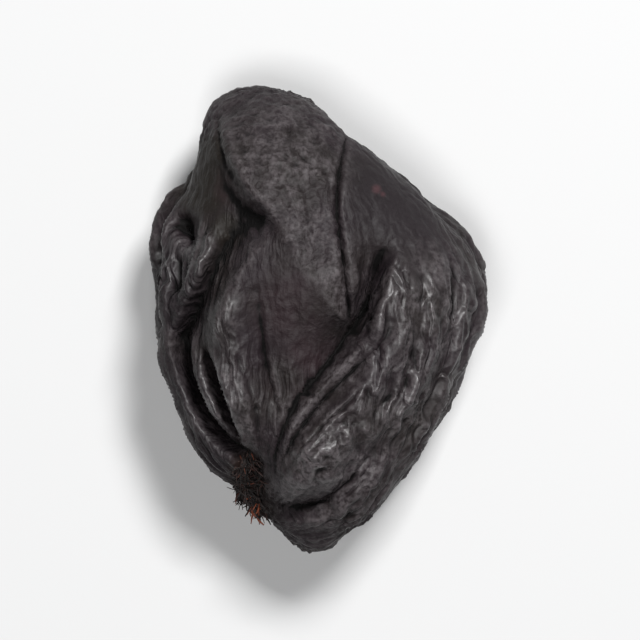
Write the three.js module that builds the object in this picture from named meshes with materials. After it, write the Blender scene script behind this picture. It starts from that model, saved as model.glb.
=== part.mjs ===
// A dried plum: one shrivelled, leathery body lying on its flatter side.
// Millimetres, +Z up. The stem end points along -Y, the blossom end along +Y,
// and the long seam of the fruit (its suture) runs down the upper face.
// The origin is on the surface that the plum lies on, under the middle of its outline.

import * as THREE from "three";
import { mergeVertices } from "three/addons/utils/BufferGeometryUtils.js";

// Driving dimensions
const LENGTH = 36; // stem end to blossom end
const WIDTH = 26.3; // across the widest cheeks
const THICKNESS = 17.5; // resting surface to the crown
const RIM_HEIGHT = 7.8; // height of the widest outline above the resting surface
const REST_SINK = 0.4; // how much of the round underside is pressed flat where it rests

// Form of the body
const CROWN_FULLNESS = 0.84; // below 1 the upper flanks stand fuller than an ellipsoid's
const UNDER_FULLNESS = 0.94; // the same for the underside
const CROWN_ROUNDING = 1.6; // how soon the drawn outline gives way to an ellipse away from the rim
const OUTLINE_SAMPLES = 720;
const PLAN_ROUNDS = 12; // repeats that settle a plan place on the upper face

// Skin
const SKIN_DETAIL = 23; // edge divisions of the sphere that the skin is drawn from
const CROWN_CROWDING = 0.25; // how far the sphere's points draw together at the crown and underside
const WELD = 1e-5; // points of the unit sphere closer than this are one
const SKIN_COLOUR = 0x241c1d;
const SKIN_ROUGHNESS = 0.45;

// Stem end: a small crater that the long folds run into
const STEM_CRATER = { at: [-0.4, -0.75], radius: 2.3, depth: 1.9 };

// Plan of the body seen from above: shares of half the width and half the length
const OUTLINE = [
  [-0.58, 0.98],
  [-0.15, 0.99],
  [0.16, 0.81],
  [0.62, 0.56],
  [0.96, 0.28],
  [1.0, 0.1],
  [0.87, -0.2],
  [0.58, -0.59],
  [0.16, -0.91],
  [-0.04, -1.0],
  [-0.35, -0.84],
  [-0.7, -0.59],
  [-0.92, -0.19],
  [-1.0, 0.22],
  [-0.97, 0.5],
  [-0.79, 0.7],
];

// Folds and broad dents of the upper face: valleys that follow a path in the outline's shares.
// Depth and width are in millimetres. Open ends run out to nothing, and the others stay deep.
const FOLDS = {
  suture_upper: {
    depth: 1.7,
    width: 0.95,
    path: [[0.17, 0.88], [0.13, 0.65], [0.1, 0.46], [0.12, 0.24], [0.18, -0.06]],
    open: [true, false],
  },
  suture_lower: {
    depth: 1.7,
    width: 1.0,
    path: [[0.18, -0.06], [0.04, -0.19], [-0.08, -0.32], [-0.19, -0.48], [-0.27, -0.63], [-0.35, -0.76]],
    open: [false, false],
  },
  suture_branch: {
    depth: 1.9,
    width: 1.25,
    path: [[0.41, 0.36], [0.34, 0.22], [0.27, 0.07], [0.18, -0.07]],
    open: [true, false],
  },
  suture_twin: {
    depth: 0.9,
    width: 0.85,
    path: [[0.42, -0.06], [0.24, -0.23], [0.06, -0.39], [-0.1, -0.54], [-0.2, -0.66]],
    open: [true, true],
  },
  crown_edge: {
    depth: 1.1,
    width: 1.1,
    path: [[-0.62, 0.94], [-0.55, 0.76], [-0.48, 0.62], [-0.36, 0.5], [-0.22, 0.44]],
    open: [true, true],
  },
  shoulder: {
    depth: 0.95,
    width: 0.95,
    path: [[-0.84, 0.68], [-0.63, 0.48], [-0.48, 0.39]],
    open: [true, true],
  },
  shoulder_dent: {
    depth: 0.8,
    width: 2.6,
    path: [[-0.74, 0.6], [-0.6, 0.44]],
    open: [false, false],
  },
  left_valley: {
    depth: 1.3,
    width: 1.05,
    path: [[-0.34, 0.47], [-0.49, 0.36], [-0.61, 0.21], [-0.73, 0.06], [-0.81, -0.08]],
    open: [true, false],
  },
  left_rim: {
    depth: 1.8,
    width: 0.95,
    path: [[-0.87, 0.28], [-0.84, 0.07], [-0.8, -0.1], [-0.72, -0.28], [-0.6, -0.44], [-0.43, -0.63]],
    open: [true, false],
  },
  left_pleat_outer: {
    depth: 1.5,
    width: 0.85,
    path: [[-0.71, -0.04], [-0.65, -0.2], [-0.56, -0.37], [-0.42, -0.6]],
    open: [true, false],
  },
  left_pleat_middle: {
    depth: 1.0,
    width: 0.75,
    path: [[-0.57, -0.04], [-0.51, -0.22], [-0.45, -0.38], [-0.39, -0.58]],
    open: [true, false],
  },
  left_pleat_inner: {
    depth: 1.1,
    width: 0.8,
    path: [[-0.36, 0.04], [-0.33, -0.16], [-0.28, -0.34], [-0.26, -0.5]],
    open: [true, true],
  },
  centre_dent: {
    depth: 0.45,
    width: 3.2,
    path: [[-0.2, 0.22], [-0.08, -0.05]],
    open: [false, false],
  },
  right_dent: {
    depth: 0.5,
    width: 3.0,
    path: [[0.36, 0.56], [0.56, 0.34]],
    open: [false, false],
  },
  cheek_pit: {
    depth: 1.6,
    width: 0.95,
    path: [[-0.82, 0.46], [-0.84, 0.37]],
    open: [false, false],
  },
  lobe_crease: {
    depth: 1.25,
    width: 0.9,
    path: [[-0.2, -0.86], [0.02, -0.78], [0.18, -0.69], [0.34, -0.57], [0.54, -0.4]],
    open: [false, true],
  },
  cheek_inner: {
    depth: 0.6,
    width: 0.8,
    path: [[0.72, 0.28], [0.71, 0.04], [0.61, -0.16], [0.42, -0.38]],
    open: [true, true],
  },
  cheek_outer: {
    depth: 0.65,
    width: 0.8,
    path: [[0.9, 0.2], [0.83, -0.03], [0.69, -0.26], [0.52, -0.48]],
    open: [true, true],
  },
};

// Wrinkles of the flanks and the underside, which run from the stem end towards the blossom end
const WRINKLES = {
  count: 30,
  depth: [0.5, 1.2],
  width: [0.75, 1.1],
  run: [0.35, 0.7], // share of the length that one wrinkle takes
  ends: [0.06, 0.94], // and the stretch of the length that it may lie in
  place: [0.15, 0.85], // where in its own sector a wrinkle may start
  waver: 0.1, // radians that it wanders off its meridian
  waverTurn: 5, // radians that the wandering turns through along it
  upperFace: 1.15, // radians each side of the crown that hold only the drawn folds
  seed: 17,
};

// What all valleys share
const VALLEY_STEPS = 28; // stretches along a valley
const RUN_OUT = 0.25; // share of its path over which an open end runs out
const GROOVE_ROUNDING = 0.75; // radius of a valley's bottom, in widths
const MEETING_POWER = 3; // how strictly the deepest of several meeting valleys rules
const SHOULDER_REACH = 2.4; // the puffed shoulder stands this many widths from the valley
const SHOULDER_LIFT = 0.16; // and rises by this share of the valley's depth
const REST_CLEAR = 1.1; // height above the resting surface where valleys reach full depth

// Repeatable random numbers from 0 to 1, by a linear congruence
function seededRandom(seed) {
  const modulus = 2 ** 32;
  let state = seed;
  return () => {
    state = (state * 1664525 + 1013904223) % modulus;
    return state / modulus;
  };
}

// Smooth step from 0 at low to 1 at high
const ramp = (low, high, value) => THREE.MathUtils.smoothstep(value, low, high);

// A place in the plan, in millimetres from the middle
const planPlace = ([x, y]) => new THREE.Vector3((x * WIDTH) / 2, (y * LENGTH) / 2, 0);

// Distance from the plan's middle to the drawn outline, by the angle about +Z
function makeReach() {
  const turn = 2 * Math.PI;
  const samples = new THREE.CatmullRomCurve3(OUTLINE.map(planPlace), true, "centripetal")
    .getPoints(OUTLINE_SAMPLES)
    .map((p) => ({ angle: Math.atan2(p.y, p.x), radius: Math.hypot(p.x, p.y) }))
    .sort((a, b) => a.angle - b.angle);
  return (angle) => {
    const next = samples.findIndex((s) => s.angle >= angle);
    const after = next < 0 ? samples[0] : samples[next];
    const before = next <= 0 ? samples[samples.length - 1] : samples[next - 1];
    const span = (after.angle - before.angle + turn) % turn || 1;
    const share = ((angle - before.angle + turn) % turn) / span;
    return THREE.MathUtils.lerp(before.radius, after.radius, share);
  };
}

const reach = makeReach();

// Distance from the middle to the body's side, by angle and by how flat the direction lies:
// the drawn outline at the rim, and a plain ellipse towards the crown and the underside
function sideReach(angle, flat) {
  const ellipse = 0.5 / Math.hypot(Math.cos(angle) / WIDTH, Math.sin(angle) / LENGTH);
  return THREE.MathUtils.lerp(ellipse, reach(angle), flat ** CROWN_ROUNDING);
}

// Point of the unwrinkled body in a direction from its middle
function bodyPoint(direction) {
  const upper = direction.z > 0;
  const angle = Math.atan2(direction.y, direction.x);
  const flat = Math.min(1, Math.hypot(direction.x, direction.y));
  const out = sideReach(angle, flat) * flat ** (upper ? CROWN_FULLNESS : UNDER_FULLNESS);
  const rise = direction.z * (upper ? THICKNESS - RIM_HEIGHT : RIM_HEIGHT + REST_SINK);
  return new THREE.Vector3(out * Math.cos(angle), out * Math.sin(angle), RIM_HEIGHT + rise);
}

// Point of the upper face above a place in the plan
function upperPoint(share) {
  const plan = planPlace(share);
  const angle = Math.atan2(plan.y, plan.x);
  let flat = Math.min(1, plan.length() / reach(angle));
  for (let round = 0; round < PLAN_ROUNDS; round++) {
    flat = Math.min(1, plan.length() / sideReach(angle, flat)) ** (1 / CROWN_FULLNESS);
  }
  const up = Math.sqrt(Math.max(0, 1 - flat * flat));
  return bodyPoint(new THREE.Vector3(flat * Math.cos(angle), flat * Math.sin(angle), up));
}

// A valley: its width, and points on the body with how deep it is at each of them.
// pointAt gives the place at a share of its path.
function makeValley({ depth, width, open }, pointAt) {
  const points = Array.from({ length: VALLEY_STEPS + 1 }, (_, i) => {
    const share = i / VALLEY_STEPS;
    const start = open[0] ? ramp(0, RUN_OUT, share) : 1;
    const end = open[1] ? ramp(0, RUN_OUT, 1 - share) : 1;
    return { at: pointAt(share), depth: depth * start * end };
  });
  return { width, points };
}

// A fold drawn on the upper face
function drawnValley(fold) {
  const corners = fold.path.map(([x, y]) => new THREE.Vector3(x, y, 0));
  const route = new THREE.CatmullRomCurve3(corners, false, "centripetal");
  return makeValley(fold, (share) => upperPoint(route.getPoint(share).toArray()));
}

// Wrinkles of the flanks and underside, each a wavering stretch of a meridian in its own sector
function wrinkleValleys() {
  const random = seededRandom(WRINKLES.seed);
  const between = ([low, high]) => THREE.MathUtils.lerp(low, high, random());
  const sector = (2 * (Math.PI - WRINKLES.upperFace)) / WRINKLES.count;
  return Array.from({ length: WRINKLES.count }, (_, k) => {
    const meridian = WRINKLES.upperFace + sector * (k + between(WRINKLES.place));
    const run = between(WRINKLES.run);
    const start = between([WRINKLES.ends[0], WRINKLES.ends[1] - run]);
    const phase = between([0, 2 * Math.PI]);
    const wrinkle = { depth: between(WRINKLES.depth), width: between(WRINKLES.width), open: [true, true] };
    return makeValley(wrinkle, (share) => {
      const along = Math.PI * (start + run * share);
      const around = meridian + WRINKLES.waver * Math.sin(phase + WRINKLES.waverTurn * share);
      const [side, up] = [Math.sin(around), Math.cos(around)];
      const off = Math.sin(along);
      return bodyPoint(new THREE.Vector3(off * side, -Math.cos(along), off * up));
    });
  });
}

// One straight stretch of a valley, and the foot of the shortest line from a point to it
const stretch = new THREE.Line3();
const foot = new THREE.Vector3();

// A valley at a point of the unwrinkled body: how deep its groove is there, and how high its shoulder
function valleyAt(point, { width, points }) {
  let nearest = Infinity;
  let depth = 0;
  for (let i = 1; i < points.length; i++) {
    stretch.set(points[i - 1].at, points[i].at);
    const share = stretch.closestPointToPointParameter(point, true);
    const distance = stretch.at(share, foot).distanceTo(point);
    if (distance < nearest) {
      nearest = distance;
      depth = THREE.MathUtils.lerp(points[i - 1].depth, points[i].depth, share);
    }
  }
  const off = nearest / width;
  return {
    groove: depth * Math.exp(GROOVE_ROUNDING - Math.hypot(off, GROOVE_ROUNDING)),
    shoulder: SHOULDER_LIFT * depth * Math.exp(-((off - SHOULDER_REACH) ** 2)),
  };
}

// How far all the valleys together move the skin inwards: where some meet, the deepest rules
function pressedIn(point, valleys) {
  let grooves = 0;
  let shoulders = 0;
  for (const valley of valleys) {
    const { groove, shoulder } = valleyAt(point, valley);
    grooves += groove ** MEETING_POWER;
    shoulders += shoulder;
  }
  return grooves ** (1 / MEETING_POWER) - shoulders;
}

// A sphere's points, drawn together where the body is broad and flat
function skinSphere() {
  const sphere = new THREE.IcosahedronGeometry(1, SKIN_DETAIL);
  sphere.deleteAttribute("normal");
  sphere.deleteAttribute("uv");
  const skin = mergeVertices(sphere, WELD);
  const place = skin.getAttribute("position");
  const spherical = new THREE.Spherical();
  const direction = new THREE.Vector3();
  for (let i = 0; i < place.count; i++) {
    // A Spherical measures its polar angle from Y, so the axes go round by one place and back
    spherical.setFromCartesianCoords(place.getY(i), place.getZ(i), place.getX(i));
    spherical.phi -= (CROWN_CROWDING * Math.sin(2 * spherical.phi)) / 2;
    direction.setFromSpherical(spherical);
    place.setXYZ(i, direction.z, direction.x, direction.y);
  }
  return skin;
}

// The skin: the body's surface with every fold, wrinkle and the stem crater pressed into it
function skinGeometry() {
  const skin = skinSphere();
  const place = skin.getAttribute("position");
  const point = new THREE.Vector3();
  const normal = new THREE.Vector3();
  for (let i = 0; i < place.count; i++) {
    point.copy(bodyPoint(point.fromBufferAttribute(place, i).normalize()));
    place.setXYZ(i, point.x, point.y, point.z);
  }
  skin.computeVertexNormals();
  const outward = skin.getAttribute("normal").clone();
  const valleys = [...Object.values(FOLDS).map(drawnValley), ...wrinkleValleys()];
  const crater = upperPoint(STEM_CRATER.at);
  for (let i = 0; i < place.count; i++) {
    point.fromBufferAttribute(place, i);
    normal.fromBufferAttribute(outward, i);
    const hollow = STEM_CRATER.depth * Math.exp(-((point.distanceTo(crater) / STEM_CRATER.radius) ** 2));
    const inward = (hollow + pressedIn(point, valleys)) * ramp(0, REST_CLEAR, point.z);
    point.addScaledVector(normal, -inward);
    place.setXYZ(i, point.x, point.y, Math.max(0, point.z));
  }
  skin.computeBoundingBox();
  const middle = skin.boundingBox.getCenter(point);
  skin.translate(-middle.x, -middle.y, 0);
  skin.computeVertexNormals();
  return skin;
}

const plum = new THREE.Group();
const body = new THREE.Mesh(
  skinGeometry(),
  new THREE.MeshStandardMaterial({ color: SKIN_COLOUR, roughness: SKIN_ROUGHNESS, metalness: 0 }),
);
body.name = "dried_plum";
plum.add(body);

export default plum;
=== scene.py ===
"""Looks of a dried plum, in metres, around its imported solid.

The skin starts as the solid's own surface. It is refined in steps, and at each step it buckles into
wrinkles of a smaller size, as a skin does when the flesh under it dries. Its upper face then hangs in folds
between crests and valleys, whose routes are drawn in the plan, and geometry nodes crumple all of it finely.
The stem scar is a bed of torn fibres.
"""

import logging
import math
from dataclasses import dataclass
from enum import Enum
from typing import Any

import bmesh
import bpy
import numpy as np
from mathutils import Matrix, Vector


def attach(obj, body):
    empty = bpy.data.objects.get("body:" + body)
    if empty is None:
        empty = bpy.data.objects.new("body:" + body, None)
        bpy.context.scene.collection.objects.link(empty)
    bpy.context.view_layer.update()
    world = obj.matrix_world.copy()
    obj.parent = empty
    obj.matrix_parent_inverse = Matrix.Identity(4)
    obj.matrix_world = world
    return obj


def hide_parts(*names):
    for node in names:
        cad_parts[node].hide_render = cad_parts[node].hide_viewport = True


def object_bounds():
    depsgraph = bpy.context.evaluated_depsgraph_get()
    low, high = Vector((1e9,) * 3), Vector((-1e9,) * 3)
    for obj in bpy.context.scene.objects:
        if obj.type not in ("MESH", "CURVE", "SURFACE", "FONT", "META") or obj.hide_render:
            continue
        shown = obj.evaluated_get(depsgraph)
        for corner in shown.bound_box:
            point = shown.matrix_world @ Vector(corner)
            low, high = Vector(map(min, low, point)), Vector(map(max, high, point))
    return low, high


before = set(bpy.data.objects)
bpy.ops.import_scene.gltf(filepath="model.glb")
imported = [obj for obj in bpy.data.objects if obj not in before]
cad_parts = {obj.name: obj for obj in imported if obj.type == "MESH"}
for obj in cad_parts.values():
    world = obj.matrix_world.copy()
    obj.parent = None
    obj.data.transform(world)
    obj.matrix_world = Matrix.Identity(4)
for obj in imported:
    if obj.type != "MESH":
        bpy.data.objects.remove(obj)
CAD_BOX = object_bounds()

LOG = logging.getLogger("dried_plum")
BODY = "root"
NODE = "dried_plum"
MM = 0.001

Array = np.ndarray
Span = tuple[float, float]
Place = tuple[float, float, float]
Colour = tuple[float, float, float, float]
Route = tuple[Place, ...]


def ramp(low: float, high: float, values: Array) -> Array:
    """Smooth step from 0 at low to 1 at high."""
    share = np.clip((values - low) / (high - low), 0, 1)
    return share * share * (3 - 2 * share)


def clouds(points: Array, size: float, seed: int, waves: int = 28, spread: Span = (0.6, 1.5)) -> Array:
    """A soft random field over space, from plane waves of like length in random directions.

    Args:
        points: Where it is read.
        size: Wavelength, in the units of points.
        seed: Seed of the directions.
        waves: Number of waves.
        spread: Loosest and tightest wave, as a share of the mean.

    Returns:
        Values about 0, with a spread of about 1.
    """
    draw = np.random.default_rng(seed)
    aims = draw.normal(size=(3, waves))
    aims *= draw.uniform(*spread, waves) / np.linalg.norm(aims, axis=0) * 2 * math.pi / size
    return np.cos(points @ aims + draw.uniform(0, 2 * math.pi, waves)).sum(axis=1) * math.sqrt(2 / waves)


def smooth_route(corners: Route, steps: int = 10) -> Array:
    """Points along a smooth line through some corners.

    Args:
        corners: The points that the line goes through.
        steps: Points between one corner and the next.

    Returns:
        The line's points.
    """
    known = np.array(corners)
    known = np.concatenate([2 * known[:1] - known[1:2], known, 2 * known[-1:] - known[-2:-1]])
    t = np.linspace(0, 1, steps, endpoint=False)[:, None]
    spans = []
    for a, b, c, d in zip(known, known[1:], known[2:], known[3:]):
        square = 2 * a - 5 * b + 4 * c - d
        cube = 3 * b - a - 3 * c + d
        spans.append((2 * b + (c - a) * t + square * t**2 + cube * t**3) / 2)
    return np.concatenate([*spans, known[-2:-1]])


def beside(plan: Array, line: Array, reach: float) -> tuple[Array, Array, Array]:
    """Which points of the plan lie near a line, and how.

    Args:
        plan: The points, as rows of x and y.
        line: The line's points, as rows of x, y and a size that changes along it.
        reach: How far off a point may be.

    Returns:
        The numbers of the points near the line, how far off they are, and the line's size beside them.
    """
    flat, size = line[:, :2], line[:, 2]
    low, high = flat.min(axis=0) - reach, flat.max(axis=0) + reach
    near = np.flatnonzero(np.all((plan > low) & (plan < high), axis=1))
    run = np.diff(flat, axis=0)
    gap = plan[near, None] - flat[:-1]
    share = np.clip((gap * run).sum(axis=2) / (run * run).sum(axis=1), 0, 1)
    off = np.linalg.norm(gap - share[..., None] * run, axis=2)
    best = off.argmin(axis=1)
    row = np.arange(len(near))
    share = share[row, best]
    return near, off[row, best], size[best] * (1 - share) + size[best + 1] * share


class Wire:
    """One output of a node tree, with arithmetic that adds Math nodes to the tree."""

    NOISE_MIDDLE = 0.5
    RIDGE_ROUGHNESS = 0.4
    RIDGE_POWER = 1.6
    FACET_SLOPE = 3.0

    def __init__(self, tree: bpy.types.NodeTree, socket: bpy.types.NodeSocket | None = None) -> None:
        """Wraps a socket, or nothing where a tree is only being started."""
        self.tree = tree
        self.socket = socket

    def feed(self, target: bpy.types.NodeSocket, value: Any) -> None:
        """Links a wire to an input socket, or sets a plain value on it.

        Args:
            target: The input socket.
            value: A Wire, or a value that the socket takes.
        """
        if isinstance(value, Wire):
            self.tree.links.new(value.socket, target)
        else:
            target.default_value = value

    def node(
        self,
        kind: str,
        settings: dict[str, Any] | None = None,
        inputs: dict[str | int, Any] | None = None,
        output: str | int = 0,
    ) -> "Wire":
        """Adds a node of any kind.

        Args:
            kind: The node's type name.
            settings: The node's own properties, set before its sockets.
            inputs: Values or wires by the name or number of the input.
            output: Name or number of the output that is wanted.

        Returns:
            The wire of that output.
        """
        made = self.tree.nodes.new(kind)
        for name, value in (settings or {}).items():
            setattr(made, name, value)
        for name, value in (inputs or {}).items():
            self.feed(made.inputs[name], value)
        return Wire(self.tree, made.outputs[output])

    def maths(self, operation: str, *values: Any, clamp: bool = False) -> "Wire":
        """Adds a Math node on these values."""
        settings = {"operation": operation, "use_clamp": clamp}
        return self.node("ShaderNodeMath", settings, dict(enumerate(values)))

    def __add__(self, other: Any) -> "Wire":
        """This plus other."""
        return self.maths("ADD", self, other)

    def __radd__(self, other: Any) -> "Wire":
        """Other plus this."""
        return self.maths("ADD", other, self)

    def __sub__(self, other: Any) -> "Wire":
        """This minus other."""
        return self.maths("SUBTRACT", self, other)

    def __rsub__(self, other: Any) -> "Wire":
        """Other minus this."""
        return self.maths("SUBTRACT", other, self)

    def __mul__(self, other: Any) -> "Wire":
        """This times other."""
        return self.maths("MULTIPLY", self, other)

    def __rmul__(self, other: Any) -> "Wire":
        """Other times this."""
        return self.maths("MULTIPLY", other, self)

    def __rtruediv__(self, other: Any) -> "Wire":
        """Other divided by this."""
        return self.maths("DIVIDE", other, self)

    def clamped(self) -> "Wire":
        """This, held between 0 and 1."""
        return self.maths("ADD", self, 0.0, clamp=True)

    def between(self, low: float, high: float) -> "Wire":
        """Smooth step of this from 0 at low to 1 at high."""
        inputs = {"Value": self, "From Min": low, "From Max": high}
        return self.node("ShaderNodeMapRange", {"interpolation_type": "SMOOTHSTEP"}, inputs, "Result")

    def mix(self, first: Any, second: Any) -> "Wire":
        """The colour first where this is 0, and second where it is 1."""
        return self.node("ShaderNodeMix", {"data_type": "RGBA"}, {0: self, 6: first, 7: second}, 2)

    def scaled(self, share: Any) -> "Wire":
        """This vector times a number."""
        return self.node("ShaderNodeVectorMath", {"operation": "SCALE"}, {0: self, "Scale": share})

    def moved(self, other: Any) -> "Wire":
        """This vector plus another."""
        return self.node("ShaderNodeVectorMath", {"operation": "ADD"}, {0: self, 1: other})

    def dot(self, other: Any) -> "Wire":
        """The dot product of this vector and another."""
        return self.node("ShaderNodeVectorMath", {"operation": "DOT_PRODUCT"}, {0: self, 1: other}, "Value")

    def attribute(self, name: str, output: str = "Fac") -> "Wire":
        """A mesh attribute, of one number or, with the output Vector, of three."""
        return self.node("ShaderNodeAttribute", {"attribute_name": name}, output=output)

    def bump(self, strength: float, depth: float) -> "Wire":
        """The normal of a surface that has this as its height, and a depth in millimetres."""
        inputs = {"Strength": strength, "Distance": depth * MM, "Height": self}
        return self.node("ShaderNodeBump", None, inputs, "Normal")

    def noise(self, size: Any, detail: float = 2.0, roughness: float = 0.5, seed: Any = 0.0) -> "Wire":
        """Soft noise from 0 to 1 at the places that this gives.

        Args:
            size: Size of its grains, in the units of the places.
            detail: Octaves.
            roughness: Strength of the finer octaves.
            seed: Seed of the noise.

        Returns:
            The noise.
        """
        inputs = {
            "Vector": self,
            "Scale": 1 / size,
            "W": seed,
            "Detail": detail,
            "Roughness": roughness,
        }
        return self.node("ShaderNodeTexNoise", {"noise_dimensions": "4D"}, inputs, "Fac")

    def ridges(self, size: Any, steep: float, seed: Any) -> "Wire":
        """Narrow crests with broad hollows between them, from 0 to 1, at the places that this gives.

        Args:
            size: Distance between them, in the units of the places.
            steep: How narrow they are.
            seed: Seed of their noise.

        Returns:
            Their heights.
        """
        noise = self.noise(size, 1.0, self.RIDGE_ROUGHNESS, seed)
        off = self.maths("ABSOLUTE", noise - self.NOISE_MIDDLE)
        return self.maths("POWER", 1 - self.maths("MULTIPLY", off, steep, clamp=True), self.RIDGE_POWER)

    def facets(self, size: Any) -> "Wire":
        """Flat facets that meet in sharp crests, at the places that this gives.

        Args:
            size: Size of a facet, in the units of the places.

        Returns:
            Their heights, which are 1 on the crests and fall away from them.
        """
        inputs = {"Vector": self, "Scale": 1 / size}
        settings = {"voronoi_dimensions": "3D", "feature": "DISTANCE_TO_EDGE"}
        return 1 - self.FACET_SLOPE * self.node("ShaderNodeTexVoronoi", settings, inputs, "Distance")


@dataclass(frozen=True)
class Crease:
    """One set of lines in a pattern of the skin: narrow crests, or facets where no steepness is given."""

    weight: float
    size: float
    steep: float | None = None
    seed: float = 0.0

    def heights(self, places: Wire, size: Any, seed: Any) -> Wire:
        """Draws the lines.

        Args:
            places: Where they are read.
            size: Size of the whole pattern, which this one's is a share of.
            seed: Seed of the whole pattern.

        Returns:
            Their heights, times their weight.
        """
        if self.steep is None:
            return self.weight * places.facets(self.size * size)
        return self.weight * places.ridges(self.size * size, self.steep, seed + self.seed)


def creased(places: Wire, creases: tuple[Crease, ...], size: Any = 1.0, seed: Any = 0.0) -> Wire:
    """A pattern of several sets of lines.

    Args:
        places: Where it is read.
        creases: The sets of lines.
        size: Size of the pattern, in the units of the places.
        seed: Seed of the pattern.

    Returns:
        The sum of their heights.
    """
    first, *others = (crease.heights(places, size, seed) for crease in creases)
    for other in others:
        first = first + other
    return first


def start_tree(name: str, kinds: dict[str, str]) -> tuple[Wire, dict[str, Wire]]:
    """Starts a geometry node tree.

    Args:
        name: Name of the tree.
        kinds: Kind of socket of each input, by the input's name.

    Returns:
        A wire that adds nodes, and the tree's inputs by name.
    """
    tree = bpy.data.node_groups.new(name, "GeometryNodeTree")
    tree.interface.new_socket("Geometry", in_out="OUTPUT", socket_type="NodeSocketGeometry")
    for label, kind in {"Geometry": "Geometry", **kinds, "Material": "Material"}.items():
        tree.interface.new_socket(label, in_out="INPUT", socket_type="NodeSocket" + kind)
    given = tree.nodes.new("NodeGroupInput")
    return Wire(tree), {socket.name: Wire(tree, socket) for socket in given.outputs}


def end_tree(root: Wire, shape: Wire, material: Wire) -> bpy.types.NodeTree:
    """Ends a geometry node tree with real geometry and its material.

    Args:
        root: A wire of the tree.
        shape: The geometry.
        material: The material.

    Returns:
        The tree.
    """
    real = root.node("GeometryNodeRealizeInstances", None, {"Geometry": shape})
    dressed = root.node("GeometryNodeSetMaterial", None, {"Geometry": real, "Material": material})
    root.feed(root.tree.nodes.new("NodeGroupOutput").inputs["Geometry"], dressed)
    return root.tree


def grow_nodes(piece: bpy.types.Object, tree: bpy.types.NodeTree, inputs: dict[str, Any]) -> None:
    """Runs geometry nodes on a piece and keeps the result as its plain mesh.

    Args:
        piece: The object.
        tree: The node tree.
        inputs: Values of the tree's inputs by name.
    """
    growth = piece.modifiers.new(tree.name, "NODES")
    growth.node_group = tree
    sockets = {s.name: s.identifier for s in tree.interface.items_tree if s.in_out == "INPUT"}
    for name, value in inputs.items():
        growth[sockets[name]] = value
    evaluated = piece.evaluated_get(bpy.context.evaluated_depsgraph_get())
    grown = bpy.data.meshes.new_from_object(evaluated)
    piece.modifiers.clear()
    plain, piece.data = piece.data, grown
    bpy.data.meshes.remove(plain)
    grown.name = piece.name


def start_material(name: str) -> tuple[bpy.types.Material, Wire, Wire]:
    """Starts a material.

    Args:
        name: Its name.

    Returns:
        The material, a wire that adds nodes to it, and the places on its piece in millimetres.
    """
    made = bpy.data.materials.new(name)
    made.use_nodes = True
    root = Wire(made.node_tree)
    coords = root.node("ShaderNodeTexCoord", output="Object")
    return made, root, coords.scaled(1 / MM)


def make_object(name: str, points: Array, faces: Array) -> bpy.types.Object:
    """A smooth-shaded object at the origin, from points in millimetres.

    Args:
        name: Name of the object and its mesh.
        points: The points.
        faces: The faces, as rows of point numbers.

    Returns:
        The object.
    """
    data = bpy.data.meshes.new(name)
    data.from_pydata((points * MM).tolist(), [], faces.tolist())
    data.shade_smooth()
    made = bpy.data.objects.new(name, data)
    bpy.context.scene.collection.objects.link(made)
    return made


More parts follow.
